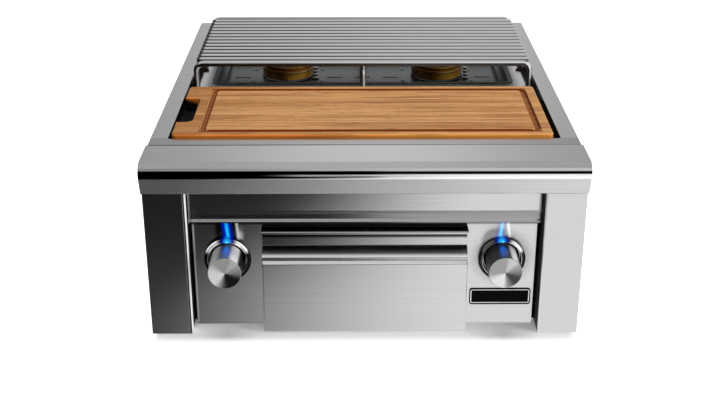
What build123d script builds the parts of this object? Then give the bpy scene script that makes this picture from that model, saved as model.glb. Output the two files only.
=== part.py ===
from build123d import *
from math import cos, radians, sin, tan
import os

# Double side burner for an outdoor kitchen: a drop-in stainless gas unit with two brass burners
# under one lift-off grate, a bamboo board over the front of the well, two lit control knobs and
# a pull-out drip tray. Millimetres, +Z up, +Y to the rear, origin on the floor mid-footprint.

os.makedirs("parts", exist_ok=True)

# Overall sizes
overall_width = 610.0  # across the bullnose
overall_depth = 722.0  # front of the bullnose to the rear edge of the rim
rim_height = 263.0  # floor to the top of the rim

# Sheet steel
sheet = 1.5
thin_sheet = 1.2
small_bend = 2.2  # outside radius of an ordinary fold
edge_round = 0.8  # broken edge on thick trim

# Clearances
slip = 0.05  # radial, shaft in its bore
slide_gap = 0.3  # drawer on its rails
loose_gap = 0.5  # sheet dropped into a cut-out
seam_gap = 1.0  # open seam between visible trims

# Rim and well
rim_plate = 3.0
rim_inset = 2.0  # each side, rim inside the bullnose ends
side_rim = 25.0
front_rim = 22.8
rear_rim = 30.0
collar_width = 8.0  # spacer under the rim, round the opening
collar_depth = 3.0
deck_drop = 18.0  # rim top down to the deck that holds board and grate
well_corner = 5.0

# Burner pan
side_ledge = 36.0  # deck left beside the pan
rear_ledge = 74.0  # deck left behind the pan
pan_length = 208.0  # front to rear
pan_step_drop = 10.0  # deck down to the pan's step
pan_step = 10.0
floor_drop = 38.0  # rim top down to the pan floor
pan_flange = 8.0
pan_corner = 9.0
vent_length = 27.0
vent_width = 4.5
vent_inset = 25.0  # outer vents in from the pan's lower wall
vent_share = 0.377  # inner vents, part of the way out to the burners
vent_forward = 12.0  # vents ahead of the burner centre line

# Bullnose
bullnose_depth = 76.7
bullnose_drop = 46.0
nose_radius = 16.0
face_slope = 18.0  # degrees, lower face raked back

# Front posts
post_setback = 9.5  # behind the nose
post_inset = 1.0  # each side, post inside the bullnose ends
post_width = 57.0
post_depth = 40.0
post_lip = 24.0
post_bend = 3.0

# Control panel and fascia
panel_recess = 29.0  # behind the front of the posts
panel_gap = 5.0  # panel edge to post
panel_return = 20.0
fascia_gap = 1.5  # fascia end to post
fascia_proud = 4.0  # fascia ahead of the panel
fascia_height = 36.0  # straight part under the bullnose
kick_out = 2.4  # lower band of the fascia, leaning out
kick_drop = 11.5
fascia_flare = 3.2  # drip edge under the band
fascia_hem = 1.6

# Knobs, bezels and lamps
knob_bay = 98.0  # panel left free beside the drawer
knob_inset = 48.0  # panel edge to the knob axis
knob_height = 106.0
knob_radius = 23.4
knob_reach = 49.0  # panel to knob face
knob_back_gap = 5.0  # panel to the back of the knob
knob_edge = 1.4
dimple_radius = 1.1
dimple_depth = 1.5
dimple_angle = 46.0  # degrees either side of the top
push_travel = 4.0
bezel_radius = 33.5
bezel_bore = 27.0
bezel_height = 8.0
bezel_round = 3.4
bezel_lip = 1.2  # rounding at the bore
panel_hole = 25.5  # radius behind each bezel
lamp_radius = 2.0
lamp_proud = 0.7
lamp_round = 1.4
lamp_tail = 7.0  # behind the panel

# Name plate, left blank
plate_left_gap = 6.5  # drawer to plate
plate_right_gap = 3.5  # plate to the panel edge
plate_height = 25.5
plate_centre_z = 44.0
plate_thickness = 1.6
plate_border = 1.6
plate_corner = 4.0

# Gas valves and manifold
stem_radius = 4.0
stem_in_knob = 30.0
stem_in_valve = 20.0
shoulder_radius = 6.5
shoulder_width = 2.0
collar_radius = 8.0
collar_thickness = 4.0
collar_gap = 5.0  # panel back to the sliding collar
valve_gap = 1.0  # collar fully pushed to valve nose
valve_nose = 8.0
valve_nose_radius = 10.0
valve_width = 28.0
valve_depth = 28.0
valve_tall = 30.0
outlet_radius = 8.0
outlet_length = 8.0
manifold_radius = 10.0
manifold_wall = 1.8
manifold_drop = 27.0  # panel top down to the manifold axis
manifold_flange = 16.0
flange_thickness = 4.0
drop_radius = 7.0
inlet_radius = 10.65  # half-inch gas pipe
inlet_wall = 2.7
inlet_inset = 34.5  # side panel to the inlet axis
inlet_boss_radius = 14.0
inlet_boss_length = 20.0
inlet_stub = 20.0  # past the rear panel
thread_radius = 10.4  # outside the locknut
nut_flats = 32.0
nut_thickness = 6.0

# Burners
burner_inset = 113.0  # pan side to burner axis
burner_radius = 43.5
burner_tall = 15.0
burner_wall = 6.5
burner_floor = 3.0
port_count = 54
port_radius = 1.2
port_drop = 3.6  # below the top edge
cap_radius = 40.5
cap_thickness = 7.0
cap_round = 3.0
cap_dish = 1.5
cap_dish_radius = 30.0
cap_skirt = 4.0
cap_skirt_wall = 3.0
cap_play = 0.3
base_ring_radius = 45.0
base_flange_radius = 42.0
base_flange = 2.5
base_neck_radius = 33.5
base_bowl_radius = 28.0
base_bowl_depth = 20.0
throat_radius = 14.0
throat_bore = 10.0
throat_length = 12.0
bowl_slope = 8.0
strap_thickness = 4.0
strap_width = 10.0
strap_length = 16.0
orifice_radius = 9.5
orifice_length = 14.0
orifice_gap = 4.0  # air gap under the throat
tube_radius = 5.0
tube_wall = 1.0
tube_bend = 18.0
bracket_length = 134.0
bracket_width = 92.0
screw_side = 59.0  # bracket screws each side of a burner
screw_fore = 32.0
small_screw_head = 3.2
small_screw_dome = 1.8
small_screw_shank = 1.7
small_screw_length = 8.0

# Igniters
igniter_distance = 52.5  # from the burner centre
igniter_angle = -24.0  # degrees, towards the front
shield_radius = 3.6
shield_wall = 0.8
shield_tall = 22.0
shield_foot = 6.0
foot_thickness = 1.2
element_radius = 1.9
element_above = 18.0
element_below = 12.0
hole_radius = 0.75
hole_rows = 6
hole_pitch = 3.0

# Grate
rod_radius = 4.75
rod_pitch = 19.6
rod_count = 15
rod_end_gap = 7.0  # rod ends to the side walls of the well
leg_gap = 8.0  # leg axis to the side walls of the well
leg_bend = 12.0
rod_top_above_rim = 30.0
grate_rear_gap = 40.0  # rear rod to the rear wall of the well
side_bar_inset = 22.0  # side bars in from the walls of the well
weld_sink = 0.3
rod_end_round = 1.5

# Bamboo board
board_left_gap = 4.0
board_right_gap = 9.0
board_grate_gap = 49.8  # board to the front rod
board_thickness = 22.5
board_front_gap = 5.0
board_corner = 7.0
board_edge = 2.5
notch_length = 108.0
notch_depth = 23.0
notch_corner = 10.0
groove_radius = 4.8
groove_depth = 3.0
groove_left = 42.0  # board edge to the groove's centre line
groove_right = 19.5
groove_front = 15.5
groove_rear = 17.5
groove_corner = 12.0

# Drip tray drawer
drawer_setback = 3.5  # behind the front of the posts
drawer_floor_gap = 1.0
drawer_panel_gap = 1.0
drawer_top_slope = 4.5  # sloped top edge of the face
drawer_end_bend = 2.0  # smaller than an ordinary fold
drawer_lip = 14.0
pull_gap = 7.5  # fascia hem down to the pull
pull_height = 44.6
pull_setback = 2.0
pull_hem = 3.5
pull_lean = 2.4  # foot of the recess, ahead of its top
pull_slope_top = 14.9  # slope starts above the drawer face
pull_lip = 4.0  # sloped lip under the recess
pull_foot = 3.6
pull_foot_setback = 5.0
tray_inset = 8.0  # tray inside the ends of the drawer front
tray_tall = 78.0
tray_rear_gap = 60.0  # tray to the rear panel
opening_gap = 3.0  # tray to the panel cut-out
rail_tall = 38.0
rail_foot = 14.0

# Back and services
rear_vent_count = 5
rear_vent_length = 60.0
rear_vent_width = 8.0
rear_vent_pitch = 90.0
rear_vent_drop = 40.0
module_width = 90.0
module_depth = 130.0
module_tall = 45.0
module_side_gap = 24.5
module_rear_gap = 77.75
module_corner = 6.0
gland_radius = 7.0
gland_flange = 11.0
gland_z = 60.0
gland_tail = 12.0

# Deck screws
deck_screw_head = 4.6
deck_screw_dome = 3.0
deck_screw_shank = 2.4
deck_screw_length = 10.0
deck_screw_inset = 11.0  # in from the side walls of the well
deck_screw_fore = 36.0  # ahead of the burner line
deck_screw_aft = 60.0
dome_share = 0.6  # rounding of a screw head, part of its dome

# Places along the depth
half_width = overall_width / 2
knob_proud = max(knob_reach - post_setback - panel_recess, 0)
nose_y = knob_proud / 2 - overall_depth / 2
rear_y = nose_y + overall_depth
post_y = nose_y + post_setback
post_back_y = post_y + post_depth
panel_y = post_y + panel_recess
panel_back_y = panel_y + sheet
seam_y = nose_y + bullnose_depth
rim_front_y = seam_y + seam_gap
well_front_y = rim_front_y + front_rim
well_rear_y = rear_y - rear_rim
back_y = well_rear_y + collar_width  # outside of the rear panel
pan_rear_y = well_rear_y - rear_ledge
pan_front_y = pan_rear_y - pan_length
burner_y = (pan_front_y + pan_rear_y) / 2
drawer_y = post_y + drawer_setback
drawer_back_y = panel_y - drawer_panel_gap

# Places across the width
rim_half = half_width - rim_inset
opening_half = rim_half - side_rim
side_half = opening_half + collar_width  # outside of the side panels
inner_half = side_half - sheet
pan_half = opening_half - side_ledge
pan_low_half = pan_half - pan_step
post_outer_x = half_width - post_inset
post_inner_x = post_outer_x - post_width
panel_half = post_inner_x - panel_gap
knob_x = panel_half - knob_inset
drawer_half = panel_half - knob_bay
tray_half = drawer_half - tray_inset
plate_left_x = drawer_half + plate_left_gap
plate_right_x = panel_half - plate_right_gap
burner_x = pan_half - burner_inset
vent_outer_x = pan_low_half - vent_inset
vent_inner_x = burner_x * vent_share
deck_screw_x = opening_half - deck_screw_inset
rod_half_length = opening_half - rod_end_gap
leg_half_span = opening_half - leg_gap
side_bar_x = opening_half - side_bar_inset
board_left = board_left_gap - opening_half
board_right = opening_half - board_right_gap
inlet_x = inner_half - inlet_inset
module_x = module_side_gap + module_width / 2 - inner_half

# Heights
rim_under = rim_height - rim_plate
collar_under = rim_under - collar_depth
deck_top = rim_height - deck_drop
deck_under = deck_top - sheet
step_top = deck_top - pan_step_drop
floor_top = rim_height - floor_drop
floor_under = floor_top - thin_sheet
bullnose_under = rim_height - bullnose_drop
fold_z = bullnose_under - fascia_height
flare_top = fold_z - kick_drop
hem_top = flare_top - fascia_flare
fascia_under = hem_top - fascia_hem
pull_top = fascia_under - pull_gap
face_top = pull_top - pull_height
tray_floor = sheet + sheet + slide_gap
tray_top = tray_floor + tray_tall
cutout_top = tray_top + opening_gap
manifold_z = bullnose_under - manifold_drop


# A box given by its limits along X, Y and Z
def block(x_range, y_range, z_range):
    limits = (x_range, y_range, z_range)
    middle = [(low + high) / 2 for low, high in limits]
    size = [high - low for low, high in limits]
    return Pos(*middle) * Box(*size)


# The same with rounded upright corners
def rounded_block(x_range, y_range, z_range, corner):
    outline = RectangleRounded(x_range[1] - x_range[0], y_range[1] - y_range[0], corner)
    place = Pos(sum(x_range) / 2, sum(y_range) / 2, z_range[0])
    return place * extrude(outline, amount=z_range[1] - z_range[0])


# Straight runs joined by tangent arcs, with one radius for each inner corner
def rounded_path(points, radii):
    corners = [Vector(*point) for point in points]
    edges = []
    start = corners[0]
    for before, corner, after, radius in zip(corners, corners[1:], corners[2:], radii):
        inward = (corner - before).normalized()
        onward = (after - corner).normalized()
        half_turn = radians(inward.get_angle(onward)) / 2
        reach = radius * tan(half_turn)
        bow = radius / cos(half_turn) - radius
        arc_start = corner - inward * reach
        arc_middle = corner + (onward - inward).normalized() * bow
        arc_end = corner + onward * reach
        edges.append(Line(start, arc_start))
        edges.append(ThreePointArc(arc_start, arc_middle, arc_end))
        start = arc_end
    edges.append(Line(start, corners[-1]))
    return edges


# Cross-section of a folded sheet; a positive thickness lies left of the drawn run
def bent_strip(points, radii, thickness):
    corners = [Vector(*point) for point in points]
    runs = [(after - before).normalized() for before, after in zip(corners, corners[1:])]
    sides = [Vector(-run.Y, run.X) for run in runs]
    shifted = [corners[0] + sides[0] * thickness]
    shifted_radii = []
    for index, radius in enumerate(radii):
        first, second = sides[index], sides[index + 1]
        shifted.append(corners[index + 1] + (first + second) * (thickness / (1 + first.dot(second))))
        left_turn = runs[index].cross(runs[index + 1]).Z > 0
        shifted_radii.append(radius - thickness if left_turn else radius + thickness)
    shifted.append(corners[-1] + sides[-1] * thickness)
    edges = rounded_path(corners, radii)
    edges += rounded_path(shifted, shifted_radii)
    edges.append(Line(corners[0], shifted[0]))
    edges.append(Line(corners[-1], shifted[-1]))
    return make_face(edges)


# A round bar or pipe along a filleted run
def swept_bar(points, bend, radius, bore=0.0):
    run = FilletPolyline(*points, radius=bend)
    section = Circle(radius)
    if bore:
        section -= Circle(bore)
    return sweep(Plane(run @ 0, z_dir=run % 0) * section, path=run)


# A solid of revolution about an upright axis, from radius and height pairs
def turned(profile):
    return revolve(Plane.XZ * make_face(Polyline(*profile, close=True)), axis=Axis.Z)


# A dome-headed screw standing on the origin, its shank below
def screw(head, dome, shank, length):
    body = fillet(Cylinder(head, dome, align=(Align.CENTER, Align.CENTER, Align.MIN))
                  .edges().group_by(Axis.Z)[-1], dome * dome_share)
    body += Cylinder(shank, length, align=(Align.CENTER, Align.CENTER, Align.MAX))
    return body


# One file for each piece, or for each group of like pieces
def write(node, *shapes):
    piece = shapes[0] if len(shapes) == 1 else Compound(children=list(shapes))
    export_step(piece, f"parts/{node}.step")


# A right-hand piece and its mirror image
def write_pair(node, right_shape):
    write(f"right_{node}", right_shape)
    write(f"left_{node}", mirror(right_shape, about=Plane.YZ))


sides = {"left": -1, "right": 1}
on_floor = (Align.CENTER, Align.CENTER, Align.MIN)
to_front = Rot(90, 0, 0)  # turns an upright piece so that its top points forward

# Rim plate with its spacer collar and the walls of the well
top_frame = block((-rim_half, rim_half), (rim_front_y, rear_y), (rim_under, rim_height))
top_frame += block((-side_half, side_half), (rim_front_y, back_y), (collar_under, rim_under))
top_frame += rounded_block((-opening_half - sheet, opening_half + sheet),
                           (well_front_y - sheet, well_rear_y + sheet),
                           (deck_top, rim_under), well_corner + sheet)
top_frame -= rounded_block((-opening_half, opening_half), (well_front_y, well_rear_y),
                           (deck_top, rim_height), well_corner)
top_edges = top_frame.edges().filter_by_position(Axis.Z, rim_height, rim_height)
top_frame = fillet(top_edges, edge_round)
write("top_frame", top_frame)

# Deck under the board and round the pan
deck_y = (well_front_y - collar_width, back_y - sheet)
deck_screws = []
well_deck = block((-inner_half, inner_half), deck_y, (deck_under, deck_top))
pan_outside = thin_sheet + loose_gap
well_deck -= rounded_block((-pan_half - pan_outside, pan_half + pan_outside),
                           (pan_front_y - pan_outside, pan_rear_y + pan_outside),
                           (deck_under, deck_top), pan_corner + pan_outside)
deck_screw = screw(deck_screw_head, deck_screw_dome, deck_screw_shank, deck_screw_length)
for side in sides.values():
    for along in (burner_y - deck_screw_fore, burner_y + deck_screw_aft):
        place = Pos(side * deck_screw_x, along, deck_top)
        well_deck -= place * Cylinder(deck_screw_shank + slip, 3 * sheet)
        deck_screws.append(place * deck_screw)
write("well_deck", well_deck)
write("deck_screws", *deck_screws)

# Stepped burner pan with vents and burner holes
burner_centres = {name: side * burner_x for name, side in sides.items()}
igniter_dx = igniter_distance * cos(radians(igniter_angle))
igniter_dy = igniter_distance * sin(radians(igniter_angle))
upper_y = (pan_front_y, pan_rear_y)
lower_y = (pan_front_y + pan_step, pan_rear_y - pan_step)


# One level of the pan, grown outward by a given amount
def pan_level(half, depth_range, z_range, grow):
    grown_y = (depth_range[0] - grow, depth_range[1] + grow)
    return rounded_block((-half - grow, half + grow), grown_y, z_range, pan_corner + grow)


flange_top = deck_top + thin_sheet
burner_pan = pan_level(pan_half, upper_y, (deck_top, flange_top), pan_flange)
burner_pan += pan_level(pan_half, upper_y, (step_top - thin_sheet, deck_top), thin_sheet)
burner_pan += pan_level(pan_low_half, lower_y, (floor_under, step_top), thin_sheet)
burner_pan -= pan_level(pan_half, upper_y, (step_top, flange_top), 0)
burner_pan -= pan_level(pan_low_half, lower_y, (floor_top, step_top), 0)
vent = extrude(SlotOverall(vent_length, vent_width), amount=2 * thin_sheet)
for across in (-vent_outer_x, -vent_inner_x, 0, vent_inner_x, vent_outer_x):
    burner_pan -= Pos(across, burner_y - vent_forward, floor_under - thin_sheet / 2) * vent
brackets = []
pan_screws = []
pan_screw = screw(small_screw_head, small_screw_dome, small_screw_shank, small_screw_length)
for centre in burner_centres.values():
    hub = Pos(centre, burner_y, floor_under)
    burner_pan -= hub * Cylinder(base_neck_radius + loose_gap, 4 * thin_sheet)
    burner_pan -= hub * Pos(igniter_dx, igniter_dy) * Cylinder(element_radius + slip, 4 * thin_sheet)
    bracket_outline = RectangleRounded(bracket_length, bracket_width, pan_corner)
    bracket = Pos(0, 0, -sheet) * extrude(bracket_outline, sheet)
    bracket -= Cylinder(base_neck_radius + loose_gap, 3 * sheet)
    bracket -= Pos(igniter_dx, igniter_dy) * Cylinder(element_radius + slip, 3 * sheet)
    for across in (-screw_side, screw_side):
        for along in (-screw_fore, screw_fore):
            spot = Pos(across, along)
            bracket -= spot * Cylinder(small_screw_shank + slip, 3 * sheet)
            burner_pan -= hub * spot * Cylinder(small_screw_shank + slip, 4 * thin_sheet)
            pan_screws.append(Pos(centre, burner_y, floor_top) * spot * pan_screw)
    brackets.append(hub * bracket)
write("burner_pan", burner_pan)
write("burner_brackets", *brackets)
write("pan_screws", *pan_screws)

# Bullnose: flat top, round nose, raked face and a return underneath, closed at both ends
slope = radians(face_slope)
nose_centre_y = nose_y + nose_radius
nose_centre_z = rim_height - nose_radius
face_head_y = nose_centre_y - nose_radius * (1 + sin(slope)) / cos(slope)
face_foot_y = nose_centre_y - (nose_radius + (bullnose_under - nose_centre_z) * sin(slope)) / cos(slope)
bullnose_run = [
    (seam_y, collar_under),
    (seam_y, rim_height),
    (face_head_y, rim_height),
    (face_foot_y, bullnose_under),
    (post_back_y, bullnose_under),
]
bullnose_radii = [small_bend, nose_radius, small_bend]
bullnose_skin = Plane.YZ * bent_strip(bullnose_run, bullnose_radii, sheet)
front_bullnose = extrude(bullnose_skin, amount=half_width, both=True)
end_outline = rounded_path(bullnose_run, bullnose_radii)
end_outline.append(Line(bullnose_run[-1], bullnose_run[0]))
end_plate = extrude(Plane.YZ * make_face(end_outline), amount=sheet)
front_bullnose += Pos(half_width - sheet, 0, 0) * end_plate
front_bullnose += Pos(-half_width, 0, 0) * end_plate
write("front_bullnose", front_bullnose)

# Folded front posts
post_run = [
    (post_inner_x, post_back_y),
    (post_inner_x, post_y),
    (post_outer_x, post_y),
    (post_outer_x, post_back_y),
    (post_outer_x - post_lip, post_back_y),
]
post_section = bent_strip(post_run, [post_bend, post_bend, small_bend], sheet)
write_pair("post", extrude(post_section, amount=bullnose_under))

# Fascia with its kicked-out lower edge
fascia_y = panel_y - fascia_proud
flare_y = fascia_y - kick_out
hem_y = flare_y - fascia_flare
fascia_run = [
    (panel_y, bullnose_under),
    (fascia_y, bullnose_under),
    (fascia_y, fold_z),
    (flare_y, flare_top),
    (hem_y, hem_top),
    (hem_y, fascia_under),
]
fascia_section = Plane.YZ * bent_strip(fascia_run, [small_bend] * 4, sheet)
write("fascia_strip", extrude(fascia_section, amount=post_inner_x - fascia_gap, both=True))

# Control panel, open at the foot for the drawer
panel_span = (-panel_half, panel_half)
control_panel = block(panel_span, (panel_y, panel_back_y), (sheet, bullnose_under))
for side in sides.values():
    edge = sorted((side * panel_half, side * (panel_half - sheet)))
    control_panel += block(edge, (panel_y, panel_y + panel_return), (sheet, bullnose_under))
cutout_half = tray_half + opening_gap
control_panel -= block((-cutout_half, cutout_half), (panel_y, panel_back_y), (sheet, cutout_top))
lamp_circle = (bezel_bore + bezel_radius) / 2 - bezel_round / 2
for side in sides.values():
    knob_axis = Pos(side * knob_x, panel_y, knob_height) * to_front
    control_panel -= knob_axis * Cylinder(panel_hole, 4 * sheet)
    control_panel -= knob_axis * Pos(0, lamp_circle, 0) * Cylinder(lamp_radius + slip, 4 * sheet)
write("control_panel", control_panel)

# Bezels and lamps
bezel = Cylinder(bezel_radius, bezel_height, align=on_floor)
bezel -= Cylinder(bezel_bore, 3 * bezel_height)
bezel_rims = bezel.edges().group_by(Axis.Z)[-1].sort_by(SortBy.LENGTH)
bezel = fillet(bezel_rims[-1], bezel_round)
bezel_rims = bezel.edges().group_by(Axis.Z)[-1].sort_by(SortBy.LENGTH)
bezel = fillet(bezel_rims[0], bezel_lip)
bezel -= Pos(0, lamp_circle, 0) * Cylinder(lamp_radius + slip, 3 * bezel_height)
lamp = Cylinder(lamp_radius, bezel_height + lamp_proud + lamp_tail, align=on_floor)
lamp = fillet(lamp.edges().group_by(Axis.Z)[-1], lamp_round)
for name, side in sides.items():
    knob_axis = Pos(side * knob_x, panel_y, knob_height) * to_front
    write(f"{name}_bezel", knob_axis * bezel)
    write(f"{name}_lamp", knob_axis * Pos(0, lamp_circle, -lamp_tail) * lamp)

# Knobs, stems and the collars that slide when a knob is pushed
knob = Cylinder(knob_radius, knob_reach - knob_back_gap, align=on_floor)
knob = fillet(knob.edges().group_by(Axis.Z)[-1], knob_edge)
knob -= Cylinder(stem_radius + slip, stem_in_knob + slip, align=on_floor)
for angle in (-dimple_angle, dimple_angle):
    spoke = Rot(0, 0, angle) * Pos(0, knob_radius - dimple_depth, (knob_reach - knob_back_gap) / 2)
    knob -= spoke * Rot(-90, 0, 0) * Cylinder(dimple_radius, knob_radius, align=on_floor)
collar_front = sheet + collar_gap  # behind the front of the panel
valve_front = collar_front + collar_thickness + push_travel + valve_gap
stem_length = knob_back_gap + stem_in_knob + valve_front + stem_in_valve
stem = Pos(0, 0, -valve_front - stem_in_valve) * Cylinder(stem_radius, stem_length, align=on_floor)
stem += Pos(0, 0, -collar_front) * Cylinder(shoulder_radius, shoulder_width, align=on_floor)
collar = Cylinder(collar_radius, collar_thickness, align=on_floor)
collar -= Cylinder(stem_radius + slip, 3 * collar_thickness)
valve_body_front = valve_front + valve_nose
valve_back = valve_body_front + valve_depth
valve = Pos(0, 0, -valve_body_front) * Cylinder(valve_nose_radius, valve_nose, align=on_floor)
valve += Pos(0, 0, -valve_back) * Box(valve_width, valve_tall, valve_depth, align=on_floor)
valve += Pos(0, 0, -valve_back - outlet_length) * Cylinder(outlet_radius, outlet_length, align=on_floor)
stem_bore_depth = stem_in_valve + push_travel + valve_gap
stem_bore = Cylinder(stem_radius + slip, stem_bore_depth, align=on_floor)
valve -= Pos(0, 0, -valve_front - stem_bore_depth) * stem_bore
for name, side in sides.items():
    knob_axis = Pos(side * knob_x, panel_y, knob_height) * to_front
    write(f"{name}_knob", knob_axis * Pos(0, 0, knob_back_gap) * knob)
    write(f"{name}_valve_stem", knob_axis * stem)
    write(f"{name}_stem_collar", knob_axis * Pos(0, 0, -collar_front - collar_thickness) * collar)
    write(f"{name}_valve_body", knob_axis * valve)

# Blank name plate in a bright border
plate_width = plate_right_x - plate_left_x
plate_centre = Pos((plate_left_x + plate_right_x) / 2, panel_y, plate_centre_z) * to_front
plate_outline = RectangleRounded(plate_width, plate_height, plate_corner)
plate_field = RectangleRounded(plate_width - 2 * plate_border, plate_height - 2 * plate_border,
                               plate_corner - plate_border)
write("name_plate", plate_centre * extrude(plate_field, plate_thickness - edge_round))
write("plate_border", plate_centre * extrude(plate_outline - plate_field, plate_thickness))

# Manifold across the front, with a drop to each valve and a boss for the supply pipe
manifold_y = panel_y + valve_body_front + valve_depth / 2
valve_top = knob_height + valve_tall / 2
lying = Rot(0, 90, 0)
manifold_axis = Pos(0, manifold_y, manifold_z)
gas_manifold = manifold_axis * lying * Cylinder(manifold_radius, 2 * inner_half)
for side in sides.values():
    gas_manifold += Pos(side * knob_x, manifold_y, valve_top) * Cylinder(
        drop_radius, manifold_z - valve_top, align=on_floor)
    end = inner_half - flange_thickness / 2
    flange = lying * Cylinder(manifold_flange, flange_thickness)
    gas_manifold += manifold_axis * Pos(side * end, 0, 0) * flange
inlet_line = Pos(inlet_x, manifold_y, manifold_z) * Rot(-90, 0, 0)
gas_manifold += inlet_line * Cylinder(inlet_boss_radius, inlet_boss_length, align=on_floor)
gas_manifold -= manifold_axis * lying * Cylinder(manifold_radius - manifold_wall,
                                                 2 * (inner_half - flange_thickness))
write("gas_manifold", gas_manifold)
pipe_start = manifold_y + inlet_boss_length
pipe_end = back_y + inlet_stub
inlet_pipe = Cylinder(inlet_radius, pipe_end - pipe_start, align=on_floor)
inlet_pipe -= Cylinder(inlet_radius - inlet_wall, 3 * (pipe_end - pipe_start))
thread_length = inlet_stub - nut_thickness
thread_cut = Cylinder(2 * inlet_radius, thread_length, align=on_floor)
thread_cut -= Cylinder(thread_radius, 3 * thread_length)
inlet_pipe -= Pos(0, 0, pipe_end - pipe_start - thread_length) * thread_cut
write("gas_inlet_pipe", Pos(inlet_x, pipe_start, manifold_z) * Rot(-90, 0, 0) * inlet_pipe)
nut = extrude(RegularPolygon(nut_flats / 2, 6, major_radius=False), nut_thickness)
nut -= Cylinder(inlet_radius + slip, 3 * nut_thickness)
write("inlet_locknut", Pos(inlet_x, back_y, manifold_z) * Rot(-90, 0, 0) * nut)

# Burners: trim ring, base under the floor, ported brass head and lift-off cap
ring_top = floor_top + sheet
base_top = ring_top + base_flange
head_top = base_top + burner_tall
bowl_floor = base_top - base_bowl_depth
throat_top = bowl_floor - bowl_slope
throat_foot = throat_top - throat_length
trim_ring = Cylinder(base_ring_radius, sheet, align=on_floor)
trim_ring -= Cylinder(base_neck_radius + loose_gap, 3 * sheet)
burner_base = turned([
    (throat_bore, throat_foot),
    (throat_radius, throat_foot),
    (throat_radius, throat_top),
    (base_neck_radius, bowl_floor),
    (base_neck_radius, ring_top),
    (base_flange_radius, ring_top),
    (base_flange_radius, base_top),
    (base_bowl_radius, base_top),
    (base_bowl_radius, bowl_floor),
    (throat_bore, throat_top),
])
strap_x = orifice_radius + slip
for side in sides.values():
    strap = sorted((side * strap_x, side * (strap_x + strap_thickness)))
    burner_base += block(strap, (-strap_width / 2, strap_width / 2),
                         (throat_foot - strap_length, throat_foot + strap_thickness))
orifice_top = throat_foot - orifice_gap
orifice_foot = orifice_top - orifice_length
orifice = Cylinder(orifice_radius, orifice_length, align=on_floor)
orifice = chamfer(orifice.edges().group_by(Axis.Z)[-1], orifice_radius / 2)
head_bore = burner_radius - burner_wall
burner_head = turned([
    (base_bowl_radius, base_top),
    (burner_radius - edge_round, base_top),
    (burner_radius, base_top + edge_round),
    (burner_radius, head_top),
    (head_bore, head_top),
    (head_bore, base_top + burner_floor),
    (base_bowl_radius, base_top + burner_floor),
])
port_start = Pos(head_bore - port_radius, 0, head_top - port_drop) * Rot(0, 90, 0)
port = port_start * Cylinder(port_radius, burner_wall + 2 * port_radius, align=on_floor)
burner_head -= [Rot(0, 0, 360 * index / port_count) * port for index in range(port_count)]
cap_skirt_radius = head_bore - cap_play
burner_cap = Pos(0, 0, head_top) * Cylinder(cap_radius, cap_thickness, align=on_floor)
burner_cap = fillet(burner_cap.edges().group_by(Axis.Z)[-1], cap_round)
skirt = Cylinder(cap_skirt_radius, cap_skirt, align=on_floor)
skirt -= Cylinder(cap_skirt_radius - cap_skirt_wall, 3 * cap_skirt)
burner_cap += Pos(0, 0, head_top - cap_skirt) * skirt
burner_cap -= Pos(0, 0, head_top + cap_thickness) * Cylinder(cap_dish_radius, 2 * cap_dish)
for name, centre in burner_centres.items():
    hub = Pos(centre, burner_y, 0)
    write(f"{name}_burner_ring", hub * Pos(0, 0, floor_top) * trim_ring)
    write(f"{name}_burner_base", hub * burner_base)
    write(f"{name}_burner_head", hub * burner_head)
    write(f"{name}_burner_cap", hub * burner_cap)
    write(f"{name}_orifice", hub * Pos(0, 0, orifice_foot) * orifice)

# Gas tube from each valve to the orifice under its burner
tube_start = (knob_x, panel_y + valve_back + outlet_length, knob_height)
tube_run = [
    tube_start,
    (knob_x, burner_y, knob_height),
    (burner_x, burner_y, knob_height),
    (burner_x, burner_y, orifice_foot),
]
write_pair("gas_tube", swept_bar(tube_run, tube_bend, tube_radius, tube_radius - tube_wall))

# Igniters: a ceramic element in a perforated steel sleeve beside each burner
shield = Cylinder(shield_radius, shield_tall, align=on_floor)
shield += Cylinder(shield_foot, foot_thickness, align=on_floor)
shield -= Pos(0, 0, foot_thickness) * Cylinder(shield_radius - shield_wall, shield_tall, align=on_floor)
shield -= Cylinder(element_radius + slip, shield_tall)
peep_hole = Rot(0, 90, 0) * Cylinder(hole_radius, 4 * shield_radius)
for row in range(hole_rows):
    level = foot_thickness + hole_pitch * (row + 1)
    for angle in (45 * (row % 2), 90 + 45 * (row % 2)):
        shield -= Pos(0, 0, level) * Rot(0, 0, angle) * peep_hole
element = Cylinder(element_radius, element_above + element_below, align=on_floor)
element = Pos(0, 0, -element_below) * element
for name, centre in burner_centres.items():
    spot = Pos(centre + igniter_dx, burner_y + igniter_dy, floor_top)
    write(f"{name}_igniter_shield", spot * shield)
    write(f"{name}_igniter", spot * element)

# Grate: straight rods between two bent end rods, on two side bars and a bent centre bar
rod_z = rim_height + rod_top_above_rim - rod_radius
bar_z = rod_z - 2 * rod_radius + weld_sink
grate_rear_y = well_rear_y - grate_rear_gap
grate_front_y = grate_rear_y - rod_pitch * (rod_count - 1)
straight_rod = lying * Cylinder(rod_radius, 2 * rod_half_length)
straight_rod = fillet(straight_rod.edges().filter_by(GeomType.CIRCLE), rod_end_round)
write("grate_rods", *[Pos(0, grate_front_y + rod_pitch * index, rod_z) * straight_rod
                      for index in range(1, rod_count - 1)])
for node, along in {"grate_front_rod": grate_front_y, "grate_rear_rod": grate_rear_y}.items():
    write(node, swept_bar([
        (-leg_half_span, along, deck_top),
        (-leg_half_span, along, rod_z),
        (leg_half_span, along, rod_z),
        (leg_half_span, along, deck_top),
    ], leg_bend, rod_radius))
side_bar = Pos(0, (grate_front_y + grate_rear_y) / 2, bar_z) * Rot(90, 0, 0) * Cylinder(
    rod_radius, grate_rear_y - grate_front_y + rod_radius)
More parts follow.
